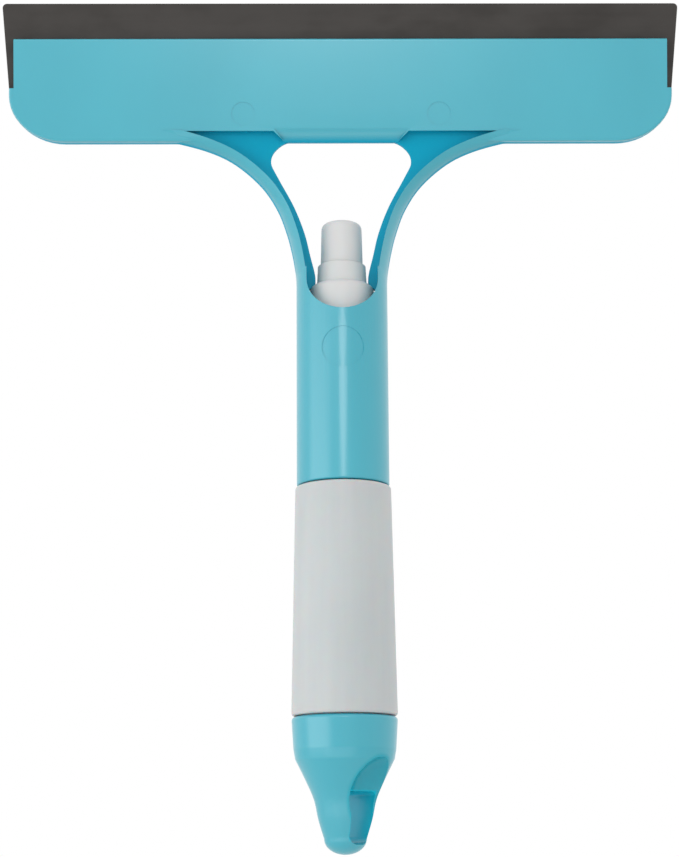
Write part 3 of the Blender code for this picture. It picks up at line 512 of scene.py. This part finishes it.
def carve(item, tool):
    """Cuts a tool out of a piece and removes the tool."""
    apply_step(item, "BOOLEAN", object=tool, operation="DIFFERENCE", solver="EXACT")
    bpy.data.objects.remove(tool)


def finish_piece(item, material, slot, body, *nodes):
    """Gives a piece its finish and lets it stand for CAD nodes."""
    item.data.materials.clear()
    item.data.materials.append(material)
    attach(item, body)
    if nodes:
        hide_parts(*nodes)
    print(item.name, len(item.data.polygons), "faces")


# %% [markdown]
# The handle's moulding already has its true shape in the frame, with the pockets, ribs and throat. A
# moulding has no knife edges, so a copy is merged into one skin and every sharp edge is rounded. The
# copy is made because a CAD node is never changed.

# %% Handle moulding
def copy_of_node(node, name):
    source = frame["nodes"][node]
    item = bpy.data.objects.new(name, source.data.copy())
    bpy.context.scene.collection.objects.link(item)
    item.matrix_world = source.matrix_world
    clean(item)
    return item


FLAT_ENOUGH = 0.6           # degrees between two faces that become one
HANDLE_EDGE = 0.00035
handle = copy_of_node("handle_frame", "handle_moulding")
activate(handle)
bpy.ops.object.mode_set(mode="EDIT")
bpy.ops.mesh.select_all(action="SELECT")
bpy.ops.mesh.dissolve_limited(angle_limit=math.radians(FLAT_ENOUGH))
bpy.ops.object.mode_set(mode="OBJECT")
soften(handle, HANDLE_EDGE, angle=34)
finish_piece(handle, blue_plastic, "blue_plastic", "handle", "handle_frame")

# %% [markdown]
# The blade is one strip of rubber with clean cut faces. A cube is stretched to its size in the plate's
# own directions, its tip is pulled a little wider than its root, and the two upper corners and then
# every edge are rounded. Last it is leaned into the plate's slot.

# %% Rubber blade
BLADE_HALF = 0.1032
BLADE_FOOT, BLADE_TIP = 0.0166, 0.0433  # heights above the plate's lower edge
BLADE_FLARE = 0.0020        # each end of the tip stands this far out
BLADE_THICK = 0.0024
BLADE_CORNER, BLADE_EDGE = 0.0014, 0.00018


def pick(item, test):
    """Selects the vertices that pass a test, for the next edit-mode step."""
    for part in (*item.data.polygons, *item.data.edges, *item.data.vertices):
        part.select = False
    for vertex in item.data.vertices:
        vertex.select = test(vertex.co)
    for edge in item.data.edges:
        edge.select = all(item.data.vertices[v].select for v in edge.vertices)


def make_blade():
    deselect()
    height = BLADE_TIP - BLADE_FOOT
    bpy.ops.mesh.primitive_cube_add(size=1.0, location=(0, 0, BLADE_FOOT + height / 2),
                                    scale=(2 * BLADE_HALF, BLADE_THICK, height))
    blade = bpy.context.object
    blade.name = "rubber_blade_strip"
    bpy.ops.object.transform_apply(location=True, scale=True)
    for sign in (-1, 1):
        pick(blade, lambda co: co.z > BLADE_TIP - 0.001 and co.x * sign > 0)
        bpy.ops.object.mode_set(mode="EDIT")
        bpy.ops.transform.translate(value=(sign * BLADE_FLARE, 0, 0))
        bpy.ops.mesh.bevel(offset=BLADE_CORNER, segments=5, affect="EDGES")
        bpy.ops.object.mode_set(mode="OBJECT")
    soften(blade, BLADE_EDGE, angle=50, segments=2)
    blade.matrix_world = Matrix.Translation(plate_foot) @ Matrix.Rotation(LEAN, 4, "X")
    activate(blade)
    bpy.ops.object.transform_apply(location=True, rotation=True)
    return blade


finish_piece(make_blade(), dark_rubber, "dark_rubber", "handle", "rubber_blade")

# %% [markdown]
# The bottle is a turned shape with a thin wall: a neck for the sprayer, a body inside the tube with a
# snap groove, the grip, and a second neck for the end cap. Its outline runs down the outside and back
# up the inside, and one spin round the axis makes both skins at once.

# %% Bottle
NECK, BODY, CAP_NECK = 0.0079, 0.0107, 0.0133         # radii
GRIP_TOP_RADIUS, GRIP_FOOT_RADIUS = 0.01445, 0.0157
WALL, NECK_WALL = 0.0012, 0.0014
NECK_TOP, NECK_FOOT, SHOULDER = 0.0773, 0.0681, 0.0649
INNER_NECK_FOOT, INNER_SHOULDER = 0.0675, 0.0643
GRIP_TOP, GRIP_FOOT, CAP_NECK_FOOT = 0.0209, -0.0475, -0.0551
SNAP, SNAP_HALF, SNAP_DEPTH = 0.0292, 0.0018, 0.0006  # the groove that the tube's bead snaps into


def spin_piece(name, corners):
    piece = turned(name, [tuple(point) for point in rounded(corners)] + [tuple(rounded(corners)[0])])
    activate(piece)
    bpy.ops.object.shade_smooth_by_angle(angle=math.radians(35))
    return piece


bottle_corners = [
    (NECK, NECK_TOP, 0.0003), (NECK, NECK_FOOT, 0.0004), (BODY, SHOULDER, 0.0015), (BODY, SNAP + SNAP_HALF),
    (BODY - SNAP_DEPTH, SNAP, 0.0010), (BODY, SNAP - SNAP_HALF), (BODY, GRIP_TOP),
    (GRIP_TOP_RADIUS, GRIP_TOP, 0.0008), (GRIP_FOOT_RADIUS, GRIP_FOOT, 0.0008), (CAP_NECK, GRIP_FOOT),
    (CAP_NECK, CAP_NECK_FOOT, 0.0003), (CAP_NECK - WALL, CAP_NECK_FOOT, 0.0003), (CAP_NECK - WALL, GRIP_FOOT),
    (GRIP_FOOT_RADIUS - WALL, GRIP_FOOT + 2 * WALL, 0.0008),
    (GRIP_TOP_RADIUS - WALL, GRIP_TOP - 0.0031, 0.0008), (BODY - WALL, GRIP_TOP + 0.0019, 0.0008),
    (BODY - WALL, INNER_SHOULDER), (NECK - NECK_WALL, INNER_NECK_FOOT), (NECK - NECK_WALL, NECK_TOP, 0.0003)]
bottle = spin_piece("bottle_shell", bottle_corners)
finish_piece(bottle, milky_plastic, "milky_plastic", "handle", "bottle")

# %% [markdown]
# The end cap's skirt screws over the bottle's lower neck, and its tail tapers to a round tip. The outer
# line is a smooth curve through a few stations. A wedge-shaped eye runs through the tail for a cord or
# a hook, and an egg-shaped hollow flares each of its mouths.

# %% End cap
CAP_RADIUS, CAP_BORE, CAP_FLOOR = 0.0157, 0.0136, -0.0567
CAP_TAIL = [(0.0146, 0.0123), (0.0117, 0.0181), (0.0092, 0.0238), (0.0079, 0.0296), (0.0062, 0.0352)]
CAP_LENGTH = 0.0397
SKIRT, SKIRT_TAPER = 0.0095, 0.0006      # its height, and how much it narrows
EYE_NARROWS = 0.0022        # each side comes in this far at the eye's foot
EYE_FOOT_ROUND, EYE_TOP_ROUND = 0.0024, 0.0013


def curve_through(points, pieces):
    """A Catmull-Rom curve through the points, as short chords."""
    points = [Vector(point) for point in points]
    ends = [2 * points[0] - points[1], *points, 2 * points[-1] - points[-2]]
    line = []
    for before, start, end, after in zip(ends, ends[1:], ends[2:], ends[3:]):
        for step in range(pieces):
            t = step / pieces
            line.append(0.5 * (2 * start + (end - before) * t
                               + (2 * before - 5 * start + 4 * end - after) * t ** 2
                               + (3 * start - before - 3 * end + after) * t ** 3))
    return [*line, points[-1]]


def cap_outline():
    """From the middle of the thread's floor, over the rim and down the tail to the tip."""
    tail = curve_through([(r, CAP_RIM - depth) for r, depth in CAP_TAIL], 8)
    body = rounded([(0, CAP_FLOOR), (CAP_BORE, CAP_FLOOR, 0.0005), (CAP_BORE, CAP_RIM, 0.0004),
                    (CAP_RADIUS, CAP_RIM, 0.0011), (CAP_RADIUS - SKIRT_TAPER, CAP_RIM - SKIRT, 0.0040),
                    tuple(tail[0])])
    radius, middle = tail[-1]
    tip = CAP_RIM - CAP_LENGTH
    egg = [(radius * math.cos(turn), middle - (middle - tip) * math.sin(turn))
           for turn in (math.pi / 2 * step / 14 for step in range(1, 14))]
    return [tuple(p) for p in body[:-1]] + [tuple(p) for p in tail] + egg + [(0, tip)]


def make_eye_tool():
    """The eye's wedge, with rounded corners, turned about the handle's axis."""
    deselect()
    top, foot = CAP_RIM - EYE_TOP, CAP_RIM - EYE_FOOT
    bpy.ops.mesh.primitive_cube_add(size=1.0, location=(0, 0, (top + foot) / 2),
                                    scale=(2 * EYE_HALF, 0.05, top - foot))
    tool = bpy.context.object
    bpy.ops.object.transform_apply(location=True, scale=True)
    for sign in (-1, 1):
        pick(tool, lambda co: co.z < (top + foot) / 2 and co.x * sign > 0)
        bpy.ops.object.mode_set(mode="EDIT")
        bpy.ops.transform.translate(value=(-sign * EYE_NARROWS, 0, 0))
        bpy.ops.object.mode_set(mode="OBJECT")
    for low, width in ((True, EYE_FOOT_ROUND), (False, EYE_TOP_ROUND)):
        pick(tool, lambda co: (co.z < (top + foot) / 2) == low)
        for edge in tool.data.edges:
            ends = [tool.data.vertices[v].co for v in edge.vertices]
            edge.select = edge.select and abs(ends[0].x - ends[1].x) < 0.0001
        for vertex in tool.data.vertices:
            vertex.select = False
        bpy.ops.object.mode_set(mode="EDIT")
        bpy.ops.mesh.select_mode(type="EDGE")
        bpy.ops.mesh.bevel(offset=width, segments=6, affect="EDGES")
        bpy.ops.mesh.select_mode(type="VERT")
        bpy.ops.object.mode_set(mode="OBJECT")
    tool.rotation_euler.z = EYE_TURN
    return tool


def make_scoop_tool(sign):
    """An egg-shaped hollow at one mouth of the eye."""
    deselect()
    out = Matrix.Rotation(EYE_TURN, 3, "Z") @ Vector((0, sign * SCOOP_OUT, CAP_RIM - SCOOP_DOWN))
    bpy.ops.mesh.primitive_uv_sphere_add(segments=64, ring_count=40, radius=1.0, location=out,
                                         scale=SCOOP_SIZE, rotation=(0, 0, EYE_TURN))
    return bpy.context.object


cap = turned("end_cap_body", cap_outline(), steps=128)
for tool in (make_eye_tool(), make_scoop_tool(-1), make_scoop_tool(1)):
    carve(cap, tool)
soften(cap, 0.0004, angle=28, segments=4)
finish_piece(cap, blue_plastic, "blue_plastic", "cap", "end_cap")

# %% [markdown]
# The sprayer's collar and button are turned too. The collar's shoulder rolls over in a soft round, with
# the thin ring that guides the button standing on it. The button is hollow from below, with a boss that
# takes the pump's stem, and the nozzle's seat is bored into its glass side.

# %% Sprayer collar and button
COLLAR_RADIUS, COLLAR_BORE = 0.00985, 0.0082
COLLAR_TOP, COLLAR_FOOT = 0.0841, 0.0684
DECK_HOLE, DECK_TOP, DECK_FOOT = 0.0046, 0.0829, 0.0815         # the wall across the collar's top
RING_BORE, RING_TIP, RING_ROOT, RING_TOP = 0.00685, 0.0074, 0.0077, 0.0903
collar = spin_piece("sprayer_collar_shell", [
    (RING_TIP, RING_TOP, 0.0002), (RING_ROOT, COLLAR_TOP, 0.0003), (COLLAR_RADIUS, COLLAR_TOP, 0.0020),
    (COLLAR_RADIUS, COLLAR_FOOT, 0.0003), (COLLAR_BORE, COLLAR_FOOT, 0.0003), (COLLAR_BORE, DECK_FOOT),
    (DECK_HOLE, DECK_FOOT), (DECK_HOLE, DECK_TOP), (RING_BORE, DECK_TOP), (RING_BORE, RING_TOP, 0.0002)])
finish_piece(collar, white_plastic, "white_plastic", "handle", "sprayer_collar")

BUTTON_TOP, BUTTON_SHOULDER, BUTTON_FOOT = 0.1045, 0.1040, 0.0887
BUTTON_TIP, BUTTON_RADIUS, BUTTON_BORE, BUTTON_CEILING = 0.0062, 0.00655, 0.00535, 0.0948
BOSS_RADIUS, BOSS_FOOT = 0.0038, 0.0890
STEM_HOLE, STEM_SEAT = 0.0024, 0.0967
CHANNEL, NOZZLE_SEAT = 0.0007, 0.0021   # radii of the liquid's way and of the nozzle's bore
NOZZLE_HEIGHT = BUTTON_TOP - 0.0055


def rod(radius, start, end):
    """A round cutter from one point to another."""
    deselect()
    start, end = Vector(start), Vector(end)
    turn = (end - start).to_track_quat("Z", "Y").to_euler()
    bpy.ops.mesh.primitive_cylinder_add(vertices=48, radius=radius, depth=(end - start).length,
                                        location=(start + end) / 2, rotation=turn)
    return bpy.context.object


button_line = rounded([(0, BUTTON_TOP), (BUTTON_TIP, BUTTON_SHOULDER, 0.0020),
                       (BUTTON_RADIUS, BUTTON_FOOT, 0.0003), (BUTTON_BORE, BUTTON_FOOT, 0.0003),
                       (BUTTON_BORE, BUTTON_CEILING), (BOSS_RADIUS, BUTTON_CEILING),
                       (BOSS_RADIUS, BOSS_FOOT), (STEM_HOLE, BOSS_FOOT), (STEM_HOLE, STEM_SEAT),
                       (0, STEM_SEAT)])
button = turned("spray_button_cap", [tuple(point) for point in button_line])
for radius, start, end in ((CHANNEL, (0, 0, STEM_SEAT - 0.0003), (0, 0, NOZZLE_HEIGHT + 0.0003)),
                           (CHANNEL, (0, -0.0003, NOZZLE_HEIGHT), (0, 0.0045, NOZZLE_HEIGHT)),
                           (NOZZLE_SEAT, (0, 0.0032, NOZZLE_HEIGHT), (0, 0.0124, NOZZLE_HEIGHT))):
    carve(button, rod(radius, start, end))
activate(button)
bpy.ops.object.shade_smooth_by_angle(angle=math.radians(35))
finish_piece(button, white_plastic, "white_plastic", "button", "spray_button")

# %% [markdown]
# The pump's spring is a wire coil with a level turn at each end. A circle of wire is drawn once and
# screwed up the coil in steps.

# %% Pump spring
SPRING_RADIUS, WIRE, TURNS = 0.00265, 0.00025, 6
SPRING_FOOT, SPRING_HEAD = 0.0528, 0.0706
POINTS_IN_TURN = 40


def coil_height(turn):
    """Height of the wire's middle after so many turns; the end turns lie nearly level."""
    low, high, level = SPRING_FOOT + WIRE, SPRING_HEAD - WIRE, 2.4 * WIRE
    rise = (high - low - 2 * level) / (TURNS - 2)
    climbed = max(min(turn - 1, TURNS - 2), 0)
    return low + min(turn, 1) * level + climbed * rise + max(turn - TURNS + 1, 0) * level


def make_coil():
    deselect()
    bpy.ops.mesh.primitive_circle_add(vertices=12, radius=WIRE, fill_type="NGON",
                                      rotation=(math.pi / 2, 0, 0),
                                      location=(SPRING_RADIUS, 0, coil_height(0)))
    coil = bpy.context.object
    coil.name = "pump_spring_coil"
    bpy.ops.object.transform_apply(location=True, rotation=True)
    bpy.ops.object.mode_set(mode="EDIT")
    bpy.ops.mesh.select_all(action="SELECT")
    for step in range(TURNS * POINTS_IN_TURN):
        climb = coil_height((step + 1) / POINTS_IN_TURN) - coil_height(step / POINTS_IN_TURN)
        bpy.ops.mesh.extrude_region_move(TRANSFORM_OT_translate={"value": (0, 0, climb)})
        bpy.ops.transform.rotate(value=-2 * math.pi / POINTS_IN_TURN, orient_axis="Z",
                                 center_override=(0, 0, 0))
    bpy.ops.object.mode_set(mode="OBJECT")
    clean(coil, merge=0.000001)
    bpy.ops.object.shade_smooth_by_angle(angle=math.radians(60))
    return coil


coil = make_coil()
finish_piece(coil, steel, "steel", "handle", "pump_spring")
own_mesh(coil)

# %% [markdown]
# Every CAD node takes the finish of its slot. The nodes that no new piece stands for keep their shape.

# %% CAD finishes
finishes = {"blue_plastic": blue_plastic, "dark_rubber": dark_rubber, "milky_plastic": milky_plastic,
            "white_plastic": white_plastic, "clear_tube": clear_tube, "soft_seal": soft_seal, "steel": steel}
for part in frame["record"]["subparts"]:
    node = frame["nodes"][part["node"]]
    for index in range(max(1, len(node.material_slots))):
        if not node.material_slots:
            node.data.materials.append(finishes[part["material_slot"]])
        node.material_slots[index].material = finishes[part["material_slot"]]
